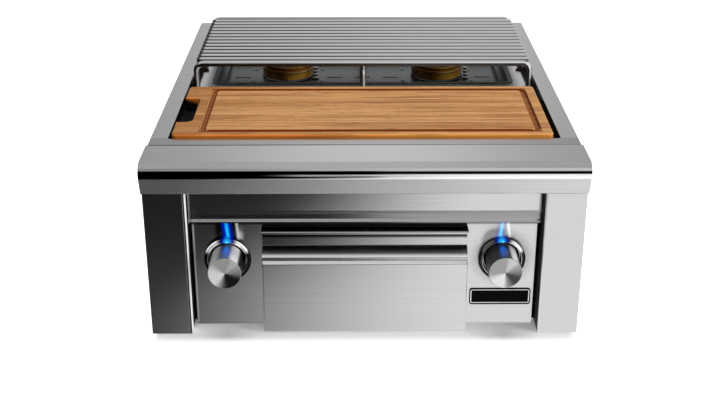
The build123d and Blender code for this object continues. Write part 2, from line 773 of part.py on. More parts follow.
centre_bar = swept_bar([
    (0, grate_front_y, deck_top),
    (0, grate_front_y, bar_z),
    (0, grate_rear_y, bar_z),
    (0, grate_rear_y, deck_top),
], leg_bend, rod_radius)
write("grate_bars", Pos(-side_bar_x, 0, 0) * side_bar, centre_bar, Pos(side_bar_x, 0, 0) * side_bar)

# Bamboo board with a hand notch at the left edge and a juice groove all round
board_y = (well_front_y + board_front_gap, grate_front_y - rod_radius - board_grate_gap)
board_top = deck_top + board_thickness
cutting_board = rounded_block((board_left, board_right), board_y, (deck_top, board_top), board_corner)
notch_middle = sum(board_y) / 2
notch = rounded_block((board_left - notch_depth, board_left + notch_depth),
                      (notch_middle - notch_length / 2, notch_middle + notch_length / 2),
                      (deck_top, board_top), notch_corner)
cutting_board -= notch
board_rims = cutting_board.edges().filter_by_position(Axis.Z, deck_top, deck_top)
board_rims += cutting_board.edges().filter_by_position(Axis.Z, board_top, board_top)
cutting_board = fillet(board_rims, board_edge)
groove_x = (board_left + groove_left, board_right - groove_right)
groove_y = (board_y[0] + groove_front, board_y[1] - groove_rear)
groove_outline = RectangleRounded(groove_x[1] - groove_x[0], groove_y[1] - groove_y[0], groove_corner)
groove_lift = groove_radius - groove_depth
groove_run = (Pos(sum(groove_x) / 2, sum(groove_y) / 2, board_top + groove_lift) * groove_outline).wire()
groove_section = Plane(groove_run @ 0, z_dir=groove_run % 0) * Circle(groove_radius)
cutting_board -= sweep(groove_section, path=groove_run)
write("cutting_board", cutting_board)

# Drawer front: a shallow folded box with a sloped top edge
face_run = [
    (drawer_back_y, face_top),
    (drawer_y + drawer_top_slope, face_top),
    (drawer_y, face_top - drawer_top_slope),
    (drawer_y, drawer_floor_gap),
    (drawer_back_y, drawer_floor_gap),
]
face_radii = [small_bend] * 3
drawer_front = extrude(Plane.YZ * bent_strip(face_run, face_radii, sheet), amount=drawer_half, both=True)
cheek_outline = rounded_path(face_run, face_radii)
cheek_outline.append(Line(face_run[-1], face_run[0]))
cheek = extrude(Plane.YZ * make_face(cheek_outline), amount=sheet)
drawer_front += Pos(drawer_half - sheet, 0, 0) * cheek
drawer_front += Pos(-drawer_half, 0, 0) * cheek
for side in sides.values():
    lip = sorted((side * drawer_half, side * (drawer_half - drawer_lip)))
    drawer_front += block(lip, (drawer_back_y - sheet, drawer_back_y), (drawer_floor_gap, face_top))
face_ends = drawer_front.edges().filter_by(Axis.Z).group_by(Axis.Y)[0]
drawer_front = fillet(face_ends, drawer_end_bend)
write("drawer_front", drawer_front)

# Pull: a folded channel across the top of the drawer, fingers hook behind its upper lip
pull_run = [
    (drawer_y + pull_setback, pull_top - pull_hem),
    (drawer_y + pull_setback, pull_top),
    (drawer_back_y, pull_top),
    (drawer_back_y - pull_lean, face_top + pull_slope_top),
    (drawer_y + pull_foot_setback + pull_lip, face_top + pull_foot + pull_lip),
    (drawer_y + pull_foot_setback, face_top + pull_foot),
    (drawer_y + pull_foot_setback, face_top),
]
pull_section = Plane.YZ * bent_strip(pull_run, [small_bend] * 5, -sheet)
write("drawer_pull", extrude(pull_section, amount=drawer_half, both=True))

# Drip tray on angle rails
tray_y = (drawer_back_y, back_y - sheet - tray_rear_gap)
drip_tray = block((-tray_half, tray_half), tray_y, (tray_floor, tray_top))
drip_tray -= block((-tray_half + thin_sheet, tray_half - thin_sheet),
                   (tray_y[0] + thin_sheet, tray_y[1] - thin_sheet),
                   (tray_floor + thin_sheet, tray_top))
write("drip_tray", drip_tray)
rail_x = tray_half + slide_gap
rail_y = (panel_back_y, tray_y[1] + opening_gap)
tray_rail = block((rail_x, rail_x + sheet), rail_y, (sheet, sheet + rail_tall))
tray_rail += block((rail_x - rail_foot, rail_x), rail_y, (sheet, 2 * sheet))
write_pair("tray_rail", tray_rail)

# Casing: base, sides and rear
base_pan = block((-side_half, side_half), (post_back_y, back_y), (0, sheet))
base_pan += block(panel_span, (panel_y, post_back_y), (0, sheet))
write("base_pan", base_pan)
side_panel = block((inner_half, side_half), (post_back_y, back_y), (sheet, collar_under))
write_pair("side_panel", side_panel)
rear_panel = block((-inner_half, inner_half), (back_y - sheet, back_y), (sheet, collar_under))
rear_vent = extrude(SlotOverall(rear_vent_length, rear_vent_width), amount=3 * sheet)
rear_plane = Pos(0, back_y + sheet, 0) * to_front
for index in range(rear_vent_count):
    across = rear_vent_pitch * (index - (rear_vent_count - 1) / 2)
    rear_panel -= rear_plane * Pos(across, collar_under - rear_vent_drop, 0) * rear_vent
rear_panel -= rear_plane * Pos(inlet_x, manifold_z, 0) * Cylinder(inlet_radius + slip, 6 * sheet)
rear_panel -= rear_plane * Pos(module_x, gland_z, 0) * Cylinder(gland_radius + slip, 6 * sheet)
write("rear_panel", rear_panel)

# Power supply for the lamps and igniters, with a cord gland in the rear panel
module_x_range = (module_x - module_width / 2, module_x + module_width / 2)
module_rear_y = back_y - sheet - module_rear_gap
module_y_range = (module_rear_y - module_depth, module_rear_y)
module_z_range = (sheet, sheet + module_tall)
write("power_module", rounded_block(module_x_range, module_y_range, module_z_range, module_corner))
gland = Pos(0, 0, -sheet - gland_tail) * Cylinder(gland_radius, sheet + gland_tail, align=on_floor)
gland += Cylinder(gland_flange, 2 * sheet, align=on_floor)
gland -= Cylinder(gland_radius / 2, 6 * gland_tail)
write("cord_gland", Pos(module_x, back_y, gland_z) * Rot(-90, 0, 0) * gland)
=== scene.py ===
from math import radians

import bpy
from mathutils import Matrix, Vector


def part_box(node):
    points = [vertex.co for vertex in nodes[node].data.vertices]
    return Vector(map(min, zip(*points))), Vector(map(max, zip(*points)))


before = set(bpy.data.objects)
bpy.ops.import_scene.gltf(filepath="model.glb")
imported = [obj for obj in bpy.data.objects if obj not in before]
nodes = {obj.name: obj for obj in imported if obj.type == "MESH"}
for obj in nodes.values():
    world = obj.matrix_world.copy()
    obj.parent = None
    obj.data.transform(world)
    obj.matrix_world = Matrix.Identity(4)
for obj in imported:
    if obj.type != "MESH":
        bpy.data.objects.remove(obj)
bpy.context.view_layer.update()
sides = ("left", "right")
print("frame loaded:", len(nodes), "pieces")


def between(first, second, share):
    return first + (second - first) * share


def shifted(start, limits):  # limits measured from an edge or a level of the piece
    return [start + limit for limit in limits]


def middleOf(name):  # across and up
    low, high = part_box(name)
    return (low.x + high.x) / 2, (low.z + high.z) / 2


def pairOf(operation):  # an operator and its reflected form
    def forward(self, other):
        return self.finish.maths(operation, self, other)

    def reflected(self, other):
        return self.finish.maths(operation, other, self)

    return forward, reflected


class Wire:  # a shader socket that can stand in a sum
    def __init__(self, finish, socket):
        self.finish = finish
        self.socket = socket

    __add__, __radd__ = pairOf("ADD")
    __sub__, __rsub__ = pairOf("SUBTRACT")
    __mul__, __rmul__ = pairOf("MULTIPLY")
    __truediv__, __rtruediv__ = pairOf("DIVIDE")
    __gt__, __lt__ = pairOf("GREATER_THAN")[0], pairOf("LESS_THAN")[0]

    def __abs__(self):
        return self.finish.maths("ABSOLUTE", self)


class Finish:  # the node tree of one finish
    def __init__(self, tree):
        self.tree = tree
        tree.nodes.clear()

    def node(self, kind, settings=None, sockets=None, out=0):
        made = self.tree.nodes.new("ShaderNode" + kind)
        for key, value in (settings or {}).items():
            setattr(made, key, value)
        for key, value in (sockets or {}).items():
            self.feed(made.inputs[key], value)
        return Wire(self, made.outputs[out]) if made.outputs else None

    def feed(self, socket, value):
        if isinstance(value, Wire):
            self.tree.links.new(value.socket, socket)
        else:
            socket.default_value = value

    def outputs(self, wire):
        return [Wire(self, socket) for socket in wire.socket.node.outputs]

    def maths(self, operation, *values):
        return self.node("Math", {"operation": operation}, dict(enumerate(values)))

    def larger(self, first, second):
        return self.maths("MAXIMUM", first, second)

    def axes(self, vector):
        return self.outputs(self.node("SeparateXYZ", {}, {0: vector}))

    def place(self):  # metres in the shared frame, moving with the piece
        return self.node("TexCoord", out=3)

    def facing(self):
        return self.axes(self.node("NewGeometry", out=1))

    def rays(self):  # seen straight or through glass, and mirrored
        path = self.outputs(self.node("LightPath"))
        return path[0] + path[6], path[3]

    def noise(self, vector, scales, detail=2.0, rough=0.5):
        scaled = self.node("VectorMath", {"operation": "MULTIPLY"}, {0: vector, 1: scales})
        sockets = {"Vector": scaled, "Scale": 1.0, "Detail": detail, "Roughness": rough}
        return self.node("TexNoise", {}, sockets)

    def rings(self, position, detail=2.0):  # noise along one number
        sockets = {"W": position, "Scale": 1.0, "Detail": detail}
        return self.node("TexNoise", {"noise_dimensions": "1D"}, sockets)

    def chance(self, number):  # one random value for each whole number
        return self.node("TexWhiteNoise", {"noise_dimensions": "1D"}, {"W": number})

    def ramp(self, value, low, high):
        sockets = {"Value": value, "From Min": low, "From Max": high}
        return self.node("MapRange", {"interpolation_type": "SMOOTHSTEP"}, sockets)

    def step(self, value, level, soft):  # rises at the level, or falls there if soft is negative
        return self.ramp(value, level - soft, level + soft)

    def tint(self, factor, first, second):
        sockets = {0: factor, 6: first, 7: second}
        return self.node("Mix", {"data_type": "RGBA"}, sockets, out=2)

    def bump(self, height, depth, strength=1.0):
        return self.node("Bump", {}, {"Strength": strength, "Distance": depth, "Height": height})

    def radius(self, across, up, centre):
        dx = across - centre[0]
        dz = up - centre[1]
        return self.maths("SQRT", dx * dx + dz * dz)

    def wedges(self, right, up, plain, wedges):  # tone by direction, one wedge over another
        tone = plain
        for (toRight, toUp), low, high, value in wedges:
            tone = between(tone, value, self.ramp(toRight * right + toUp * up, low, high))
        return tone

    def surface(self, sockets, extra=None):  # extra works a piece's own marks into the sockets
        if extra:
            extra(self, sockets)
        shader = self.node("BsdfPrincipled", {}, sockets)
        self.node("OutputMaterial", {}, {"Surface": shader})


def grey(value):
    return (value, value, value, 1.0)


def colour(red, green, blue):
    return (red, green, blue, 1.0)


def newFinish(name):
    material = bpy.data.materials.new(name)
    material.use_nodes = True
    return material, Finish(material.node_tree)


def dress(material, *names):
    for name in names:
        slots = nodes[name].data.materials
        slots.clear()
        slots.append(material)


def both(*stems):
    return [f"{side}_{stem}" for stem in stems for side in sides]


# Camera, at the photographed angle
view = {"spot": (-0.0151, -1.8142, 0.8517), "pitch": 23.797, "yaw": 0.322, "lens": 58.88, "film": 36.0}


def placeCamera():
    camera = bpy.data.cameras.new("camera")
    camera.lens = view["lens"]
    camera.sensor_width = view["film"]
    holder = bpy.data.objects.new("camera", camera)
    holder.location = view["spot"]
    holder.rotation_euler = (radians(90 - view["pitch"]), 0, radians(-view["yaw"]))
    bpy.context.scene.collection.objects.link(holder)
    bpy.context.scene.camera = holder


# White paper floor, which metal mirrors dark on the left and bright on the right
paperFloor = {
    "size": 24.0, "drop": 0.0005, "paper": grey(0.9),
    "lift": 0.14, "clearX": (0.293, 0.307), "clearY": (0.352, 0.4),  # the shadow stays under the object
    "darkTo": (-0.36, -0.09), "brightFrom": (0.17, 0.26), "slant": (-0.38, -0.95),  # near and far
    "dark": (0.058, 0.018), "darkY": (-0.4, -0.8), "bright": 1.07,
}


def studioFloor():
    material, floor = newFinish("floorPaper")
    seen, mirror = floor.rays()
    x, y, z = floor.axes(floor.place())
    under = (1 - floor.ramp(abs(x), *paperFloor["clearX"])) * (1 - floor.ramp(abs(y), *paperFloor["clearY"]))
    lift = between(paperFloor["lift"], 1, 1 - under)
    away = floor.ramp(y, *paperFloor["slant"])
    darkTo = between(*paperFloor["darkTo"], away)
    brightFrom = between(*paperFloor["brightFrom"], away)
    dark = between(*paperFloor["dark"], floor.ramp(y, *paperFloor["darkY"]))
    glow = between(dark, paperFloor["bright"], floor.ramp(x, darkTo, brightFrom))
    paper = floor.node("BsdfDiffuse", {}, {"Color": paperFloor["paper"]})
    light = floor.node("Emission", {}, {"Strength": seen * lift})
    shown = floor.node("AddShader", {}, {0: paper, 1: light})
    mirrored = floor.node("Emission", {}, {"Strength": glow})
    mixed = floor.node("MixShader", {}, {0: mirror, 1: shown, 2: mirrored})
    floor.node("OutputMaterial", {}, {"Surface": mixed})
    material.cycles.emission_sampling = "NONE"
    half = paperFloor["size"] / 2
    corners = [(-half, -half, 0), (half, -half, 0), (half, half, 0), (-half, half, 0)]
    mesh = bpy.data.meshes.new("floor")
    mesh.from_pydata(corners, [], [(0, 1, 2, 3)])
    mesh.materials.append(material)
    sheet = bpy.data.objects.new("floor", mesh)
    sheet.location.z = -paperFloor["drop"]
    bpy.context.scene.collection.objects.link(sheet)


# White room, in which metal mirrors a bright rear, a dark low front and boxes of light at the sides
roomLight = {
    "side": 0.54, "rear": 0.98, "rearMiddle": 0.02, "rearHalf": 0.24, "top": 0.7, "topZ": (0.45, 0.92),
    "front": (0.38, 1.3), "frontX": (-0.16, 0.18), "frontY": (-0.5, -0.66),
    "dark": 0.006, "darkY": (0.05, -0.15), "darkZ": (0.42, 0.35),
    "box": 1.1, "boxX": (0.5, 0.7), "boxLow": 0.24, "boxSoft": 0.08,
    "lowBoxX": (0.3, 0.42), "lowBoxZ": (0.35, 0.25), "ambient": 0.14,
}


def studioRoom():
    world = bpy.data.worlds.new("studioRoom")
    world.use_nodes = True
    bpy.context.scene.world = world
    world.cycles.sampling_method = "NONE"
    room = Finish(world.node_tree)
    seen, mirror = room.rays()
    x, y, z = room.axes(room.node("TexCoord", out=0))
    middle = room.ramp(abs(x - roomLight["rearMiddle"]), roomLight["rearHalf"], 0.0)
    bright = between(roomLight["side"], roomLight["rear"], middle)
    bright = between(bright, roomLight["top"], room.ramp(z, *roomLight["topZ"]))
    front = between(*roomLight["front"], room.ramp(x, *roomLight["frontX"]))
    bright = between(bright, front, room.ramp(y, *roomLight["frontY"]))
    lowFront = room.ramp(y, *roomLight["darkY"]) * room.ramp(z, *roomLight["darkZ"])
    mirrored = between(bright, roomLight["dark"], lowFront)
    boxFoot = roomLight["boxLow"] * (x < 0)
    box = roomLight["box"] * room.ramp(z - boxFoot, 0.0, roomLight["boxSoft"])
    mirrored = between(mirrored, box, room.ramp(abs(x), *roomLight["boxX"]))
    lowBox = room.ramp(x, *roomLight["lowBoxX"]) * room.ramp(z, *roomLight["lowBoxZ"]) * (y < 0)
    mirrored = between(mirrored, roomLight["box"], lowBox)
    glow = seen + mirror * mirrored + (1 - seen - mirror) * roomLight["ambient"]
    light = room.node("Background", {}, {"Strength": glow})
    room.node("OutputWorld", {}, {"Surface": light})


lamps = {
    "topLight": {"spot": (0, -0.33, 5.0), "aim": (0, -0.1, 0), "size": (2.2, 1.4), "power": 158.0},
    "frontFill": {"spot": (0.3, -2.6, 1.9), "aim": (0, -0.3, 0.1), "size": (2.4, 1.4), "power": 11.0},
    "sideFill": {"spot": (2.4, -1.3, 0.75), "aim": (-0.2, -0.3, 0.1), "size": (0.8, 0.8), "power": 30.0},
}


def studioLights():
    for name, lamp in lamps.items():
        light = bpy.data.lights.new(name, "AREA")
        light.shape = "RECTANGLE"
        light.size, light.size_y = lamp["size"]
        light.energy = lamp["power"]
        holder = bpy.data.objects.new(name, light)
        holder.location = lamp["spot"]
        aim = Vector(lamp["aim"]) - Vector(lamp["spot"])
        holder.rotation_euler = aim.to_track_quat("-Z", "Y").to_euler()
        holder.visible_glossy = False
        bpy.context.scene.collection.objects.link(holder)


placeCamera()
studioFloor()
studioRoom()
studioLights()
print("studio placed")

# Brushed stainless sheet: fine lines along the width, soft hand marks
brushedSheet = {
    "dark": grey(0.5), "light": grey(0.73), "rough": 0.17, "gloss": 0.5, "smear": 0.55, "turn": 0.25,
    "lines": (5.0, 1700.0, 1700.0), "bands": (5.0, 420.0, 420.0), "marks": (7.0, 7.0, 7.0),
    "bandShare": 0.4, "markShare": 0.15, "lineRough": 0.08, "markRough": 0.07,
    "depth": 0.000004, "bandDepth": 0.2,
}
postSheet = dict(brushedSheet, dark=grey(0.55), light=grey(0.68), bandShare=0.05)
topSheet = dict(brushedSheet, smear=0.0, rough=0.2)
noseSheet = dict(topSheet, depth=0.000001)
# Deck painted lighter than the brushed sheet, as painted light on its ledges
deckSheet = dict(brushedSheet, dark=grey(0.8), light=grey(0.95), rough=0.3, smear=0.0, gloss=0.05)
# Pan painted darker, as painted shade under the grate
panSheet = dict(brushedSheet, dark=grey(0.2), light=grey(0.3), rough=0.34, smear=0.0)
# Burner rings painted near black, as painted shade round the burners
ringSheet = dict(panSheet, dark=grey(0.01), light=grey(0.06), gloss=0.1)
millSheet = dict(panSheet, dark=grey(0.42), light=grey(0.55), rough=0.36, lines=(40.0, 500.0, 500.0))


def sheetSteel(name, look, extra=None):
    material, steel = newFinish(name)
    place = steel.place()
    lines = steel.noise(place, look["lines"], detail=3.0, rough=0.6)
    bands = steel.noise(place, look["bands"])
    marks = steel.noise(place, look["marks"], detail=3.0)
    lineShare = 1 - look["bandShare"] - look["markShare"]
    tone = lineShare * lines + look["bandShare"] * bands + look["markShare"] * marks
    steel.surface({
        "Base Color": steel.tint(tone, look["dark"], look["light"]),
        "Metallic": 1.0,
        "Roughness": look["rough"] + look["lineRough"] * (lines - 0.5) + look["markRough"] * (marks - 0.5),
        "Specular IOR Level": look["gloss"],
        "Anisotropic": look["smear"],
        "Anisotropic Rotation": look["turn"],
        "Normal": steel.bump(lines + look["bandDepth"] * bands, look["depth"]),
    }, extra)
    return material


# Flanges that the posts turn in beside the panel, and their rounded corners, painted with highlights and
# shade
postReturn = {
    "tone": grey(0.95), "glint": grey(0.4), "metal": 0.1, "rough": 0.3, "facing": (0.8, 0.95),
    "start": 0.003, "startSoft": 0.0015, "depth": 0.02, "depthSoft": 0.004,
    "shade": grey(0.015), "dull": 0.7, "dullFacing": (0.15, 0.5), "darkFacing": (-0.93, -0.98),
    "corner": grey(0.97), "cornerDull": 0.7, "cornerFacing": (-0.1, -0.4),
}


def litReturn(steel, sockets):  # left: a painted highlight strip, glowing a little, on a flange painted dark as shade
    x, y, z = steel.axes(steel.place())
    nx, ny, nz = steel.facing()
    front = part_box("left_post")[0].y
    depth = front + postReturn["depth"]
    turned = steel.ramp(nx, *postReturn["facing"]) * steel.ramp(y, depth, depth - postReturn["depthSoft"])
    turned = turned * steel.step(y, front + postReturn["start"], postReturn["startSoft"])
    dull = steel.ramp(nx, *postReturn["dullFacing"]) * (1 - turned)
    base = steel.tint(dull, sockets["Base Color"], postReturn["shade"])
    sockets["Base Color"] = steel.tint(turned, base, postReturn["tone"])
    sockets["Metallic"] = (1 - dull) * between(1, postReturn["metal"], turned)
    sockets["Roughness"] = sockets["Roughness"] + postReturn["rough"] * turned + postReturn["dull"] * dull
    sockets["Emission Color"] = steel.tint(turned, grey(0.0), postReturn["glint"])
    sockets["Emission Strength"] = 1.0


def darkReturn(steel, sockets):  # right: a flange painted dark as shade behind a corner painted as a highlight
    nx, ny, nz = steel.facing()
    turned = steel.ramp(nx, *postReturn["darkFacing"])
    corner = steel.ramp(nx, *postReturn["cornerFacing"]) * (1 - turned)
    base = steel.tint(corner, sockets["Base Color"], postReturn["corner"])
    sockets["Base Color"] = steel.tint(turned, base, postReturn["shade"])
    sockets["Metallic"] = (1 - turned) * (1 - postReturn["cornerDull"] * corner)
    sockets["Roughness"] = sockets["Roughness"] + postReturn["dull"] * turned


# Nose, polished on the roll between its brushed top and face: painted reflection in dark bands that change
# along the width, a painted highlight band and line, and painted shade on the face, at the top ends and along
# the seam
noseRoll = {
    "tone": grey(0.93), "black": grey(0.004), "rough": 0.07, "metal": 0.86,
    "foot": 0.2425, "top": 0.254, "soft": 0.0005,  # heights above the floor, as are the bands and the line
    "bands": (0.2492, 0.2466, 0.245), "bandSoft": 0.0004,
    "upperDark": 0.78, "upperX": (0.04, 0.0), "middleX": (-0.07, -0.15), "lowerX": (0.04, 0.0),
    "footX": (0.04, -0.12), "brightX": (-0.16, -0.07), "brightDull": 0.5,
    "line": 0.2427, "lineHalf": (0.0008, 0.0003), "lineX": (-0.27, -0.08),
    "lineTone": grey(1.0), "lineDull": 0.3,
    "face": 0.26, "faceX": (0.3, 0.06), "ends": 0.13, "endsX": (0.06, 0.24),
    "seam": 0.003, "seamSoft": 0.0003, "seamX": (0.15, -0.3), "seamTone": grey(0.05), "seamShade": 0.85,
}


def polishedRoll(steel, sockets):
    x, y, z = steel.axes(steel.place())
    foot, top = noseRoll["foot"], noseRoll["top"]
    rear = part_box("front_bullnose")[1].y - noseRoll["seam"]
    roll = steel.step(z, foot, noseRoll["soft"]) * steel.step(z, top, -noseRoll["soft"])
    seam = steel.step(y, rear, noseRoll["seamSoft"]) * steel.ramp(x, *noseRoll["seamX"])
    first, second, third = (steel.step(z, level, noseRoll["bandSoft"]) for level in noseRoll["bands"])
    bright = (1 - first) * second * steel.ramp(x, *noseRoll["brightX"])  # dies out to the left
    dark = first * between(noseRoll["upperDark"], 1, steel.ramp(x, *noseRoll["upperX"]))
    dark = dark + (1 - first) * second * steel.ramp(x, *noseRoll["middleX"])
    dark = dark + (1 - second) * third * steel.ramp(x, *noseRoll["lowerX"])
    dark = dark + (1 - third) * steel.ramp(x, *noseRoll["footX"])
    line = steel.ramp(abs(z - noseRoll["line"]), *noseRoll["lineHalf"]) * steel.ramp(x, *noseRoll["lineX"])
    face = noseRoll["face"] * (z < foot) * steel.ramp(abs(x), *noseRoll["faceX"])
    ends = noseRoll["ends"] * (z > top) * steel.ramp(abs(x), *noseRoll["endsX"])
    base = steel.tint(face + ends, sockets["Base Color"], noseRoll["black"])
    base = steel.tint(roll, base, noseRoll["tone"])
    base = steel.tint(roll * dark, base, noseRoll["black"])
    base = steel.tint(line, base, noseRoll["lineTone"])
    sockets["Base Color"] = steel.tint(noseRoll["seamShade"] * seam, base, noseRoll["seamTone"])
    sockets["Roughness"] = between(sockets["Roughness"], noseRoll["rough"], roll)
    metal = between(noseRoll["metal"], 1, roll)
    sockets["Metallic"] = metal - noseRoll["lineDull"] * line - noseRoll["brightDull"] * roll * bright


# Painted highlight tone for folds, also used on the pull and at the fascia's right end
foldLook = {"tone": grey(0.97), "facing": (0.3, 0.6), "dull": 0.6}


def brightFolds(steel, sockets):  # folded edges facing up, lightened as a painted highlight
    nx, ny, nz = steel.facing()
    fold = steel.ramp(nz, *foldLook["facing"])
    sockets["Base Color"] = steel.tint(fold, sockets["Base Color"], foldLook["tone"])
    sockets["Metallic"] = 1 - foldLook["dull"] * fold


# Drawer pull, with heights from its foot: painted shade inside the channel, under its lip and at its foot,
# and a painted highlight on its fold
pullShade = {
    "tone": grey(0.02), "shade": 0.95, "top": 0.0292, "topSoft": 0.004, "ahead": 0.013,
    "fold": 0.0073, "foldSoft": 0.0008, "slope": 0.0175, "slopeSoft": 0.004, "slopeShade": 0.5,
    "line": 0.0019, "lineSoft": 0.0005, "lineFade": 0.5, "lineX": (-0.05, 0.08),
}


def channelShade(steel, sockets):
    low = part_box("drawer_pull")[0]
    x, y, z = steel.axes(steel.place())
    nx, ny, nz = steel.facing()
    top, fold, slope, line = (low.z + pullShade[part] for part in ("top", "fold", "slope", "line"))
    turned = steel.ramp(nz, *foldLook["facing"])
    lower = steel.step(z, fold, -pullShade["foldSoft"])
    lip = steel.ramp(z, top - pullShade["topSoft"], top) * (y > low.y + pullShade["ahead"])
    bottom = pullShade["slopeShade"] * turned * (1 - lower)
    bottom = bottom * steel.ramp(z, slope, slope - pullShade["slopeSoft"])
    seam = steel.step(z, line, -pullShade["lineSoft"])
    seam = seam * (1 - pullShade["lineFade"] * steel.ramp(x, *pullShade["lineX"]))
    shade = steel.larger(steel.larger(lip, bottom), seam)
    base = steel.tint(turned * lower, sockets["Base Color"], foldLook["tone"])
    sockets["Base Color"] = steel.tint(pullShade["shade"] * shade, base, pullShade["tone"])


# Fascia, with distances from its foot and ends: painted shade along its foot and at the left end, painted
# lighter at the right end
hemLook = {
    "tone": grey(0.02), "shade": 0.9, "line": (0.0021, 0.0013), "lineFade": 0.4, "lineX": (0.0, 0.1),
    "leftEnd": (0.007, 0.004), "leftShade": 0.7, "lighter": 0.5, "lighterX": (-0.008, -0.002), "lighterZ": (0.012, 0.016),
}


def hemShade(steel, sockets):
    x, y, z = steel.axes(steel.place())
    low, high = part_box("fascia_strip")
    line = steel.ramp(z, *shifted(low.z, hemLook["line"]))
    line = line * (1 - hemLook["lineFade"] * steel.ramp(x, *hemLook["lineX"]))
    shade = steel.larger(line, hemLook["leftShade"] * steel.ramp(x, *shifted(low.x, hemLook["leftEnd"])))
    # painted lighter at the right end
    lightened = hemLook["lighter"] * steel.ramp(x, *shifted(high.x, hemLook["lighterX"]))
    lightened = lightened * steel.ramp(z, *shifted(low.z, hemLook["lighterZ"]))
    base = steel.tint(lightened, sockets["Base Color"], foldLook["tone"])
    sockets["Base Color"] = steel.tint(hemLook["shade"] * shade, base, hemLook["tone"])
    sockets["Metallic"] = 1 - lightened


# Well under the grate and the board, painted with shade
wellShade = {
    "bay": grey(0.006), "baySoft": 0.012, "edge": 0.004, "dull": 0.3,
    "step": grey(0.02), "stepFacing": (0.8, 0.4), "wall": grey(0.02), "wallFacing": (0.7, 0.4),
    "rim": 0.02, "lip": 0.0012, "front": 0.24, "frontSoft": 0.004,
}


def darkBay(steel, sockets):  # painted shade: black in the bay for the board and dark close to the walls
    x, y, z = steel.axes(steel.place())
    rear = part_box("cutting_board")[1].y
    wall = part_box("grate_rods")[1].x
    bay = steel.ramp(y, rear, rear - wellShade["baySoft"])
    near = steel.ramp(abs(x), wall - wellShade["edge"], wall)
    dark = 1 - (1 - bay) * (1 - near)
    sockets["Base Color"] = steel.tint(dark, sockets["Base Color"], wellShade["bay"])
    sockets["Metallic"] = 1 - dark
    sockets["Roughness"] = sockets["Roughness"] + wellShade["dull"] * dark


def darkWalls(steel, sockets):  # stepped sides of the pan, painted dark as shade
    nx, ny, nz = steel.facing()
    upright = steel.ramp(abs(nz), *wellShade["stepFacing"])
    sockets["Base Color"] = steel.tint(upright, sockets["Base Color"], wellShade["step"])


def innerWall(steel, sockets):  # painted shade on the walls of the well under the rim, and the frame darker before the board
    x, y, z = steel.axes(steel.place())
    nx, ny, nz = steel.facing()
    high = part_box("top_frame")[1]
    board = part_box("cutting_board")[0].y
    inside = (abs(x) < high.x - wellShade["rim"]) * (z < high.z - wellShade["lip"])
    inside = inside * steel.ramp(abs(nz), *wellShade["wallFacing"])
    front = wellShade["front"] * steel.ramp(y, board, board - wellShade["frontSoft"])
    base = steel.tint(front, sockets["Base Color"], grey(0.0))
    sockets["Base Color"] = steel.tint(inside, base, wellShade["wall"])


# Light of the blue lamps on the panel, painted as glow: a leaning streak with a halo over painted shade, and
# a pale painted reflection beside it
lampStreak = {
    "deep": colour(0.0, 0.012, 0.5), "cyan": colour(0.01, 0.5, 1.0), "pale": grey(0.42),
    "haloShade": colour(0.0, 0.012, 0.06), "haloShadeShare": 0.9, "duskTone": grey(0.01), "clearTone": grey(0.9),
    "foot": (-0.004, 0.003), "halo": (0.0098, 0.002), "core": (0.0038, 0.0004), "paleHalf": 0.0034,
    "fade": 0.014, "faded": 0.5, "dusk": (0.02, 0.012), "clear": (0.054, 0.034),
}
streakSides = {
    "left": {
        "shift": 0.0023, "lean": -0.1, "strength": 1.0, "dusk": 0.95,
        "pale": 0.0164, "paleLean": -0.08, "clear": 0.0,
    },
    "right": {
        "shift": -0.0035, "lean": 0.1, "strength": 0.35, "dusk": 0.0,
        "pale": 0.011, "paleLean": -0.16, "clear": 0.75,
    },
}
panelEdge = {
    "gap": (-0.008, -0.004), "gapTone": grey(0.02), "gapShade": 0.9,
    "lighter": 0.0025, "lighterSoft": 0.0004, "lighterTone": grey(0.5), "lighterDull": 0.8,
}


def panelGlow(steel, sockets):
    x, y, z = steel.axes(steel.place())
    base, glow, plain = sockets["Base Color"], grey(0.0), 0.0
    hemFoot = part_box("fascia_strip")[0].z
    fade = between(lampStreak["faded"], 1, steel.ramp(z, hemFoot, hemFoot - lampStreak["fade"]))
    for side, streak in streakSides.items():
        middle, level = middleOf(f"{side}_lamp")
        out = abs(x - middle - streak["shift"] - streak["lean"] * (z - level))
        pale = abs(x - middle - streak["pale"] - streak["paleLean"] * (z - level))
        above = steel.ramp(z, *shifted(level, lampStreak["foot"]))
        halo = above * streak["strength"] * steel.ramp(out, *lampStreak["halo"])
        # painted shadow of the knob beside the streak
        dusk = above * streak["dusk"] * steel.ramp(abs(x - middle), *lampStreak["dusk"])
        around = steel.radius(x, z, middleOf(f"{side}_bezel"))
        clear = streak["clear"] * steel.ramp(around, *lampStreak["clear"])  # painted lighter round the bezel, in place of its dark reflection
        plain = plain + clear
        base = steel.tint(clear, base, lampStreak["clearTone"])
        base = steel.tint(dusk, base, lampStreak["duskTone"])
        base = steel.tint(lampStreak["haloShadeShare"] * halo, base, lampStreak["haloShade"])
        glow = steel.tint(above * steel.ramp(pale, lampStreak["paleHalf"], 0.0), glow, lampStreak["pale"])
        glow = steel.tint(halo, glow, lampStreak["deep"])
        glow = steel.tint(above * fade * steel.ramp(out, *lampStreak["core"]), glow, lampStreak["cyan"])
    # painted shadow under the fascia's hem
    gap = panelEdge["gapShade"] * steel.ramp(z, *shifted(hemFoot, panelEdge["gap"]))
    # painted lighter along the panel's left edge, beside the post
    lightened = steel.step(x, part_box("control_panel")[0].x + panelEdge["lighter"], -panelEdge["lighterSoft"])
    base = steel.tint(lightened, base, panelEdge["lighterTone"])
    sockets["Base Color"] = steel.tint(gap, base, panelEdge["gapTone"])
    sockets["Metallic"] = (1 - panelEdge["lighterDull"] * lightened) * (1 - plain)
    sockets["Emission Color"] = glow
    sockets["Emission Strength"] = 1.0


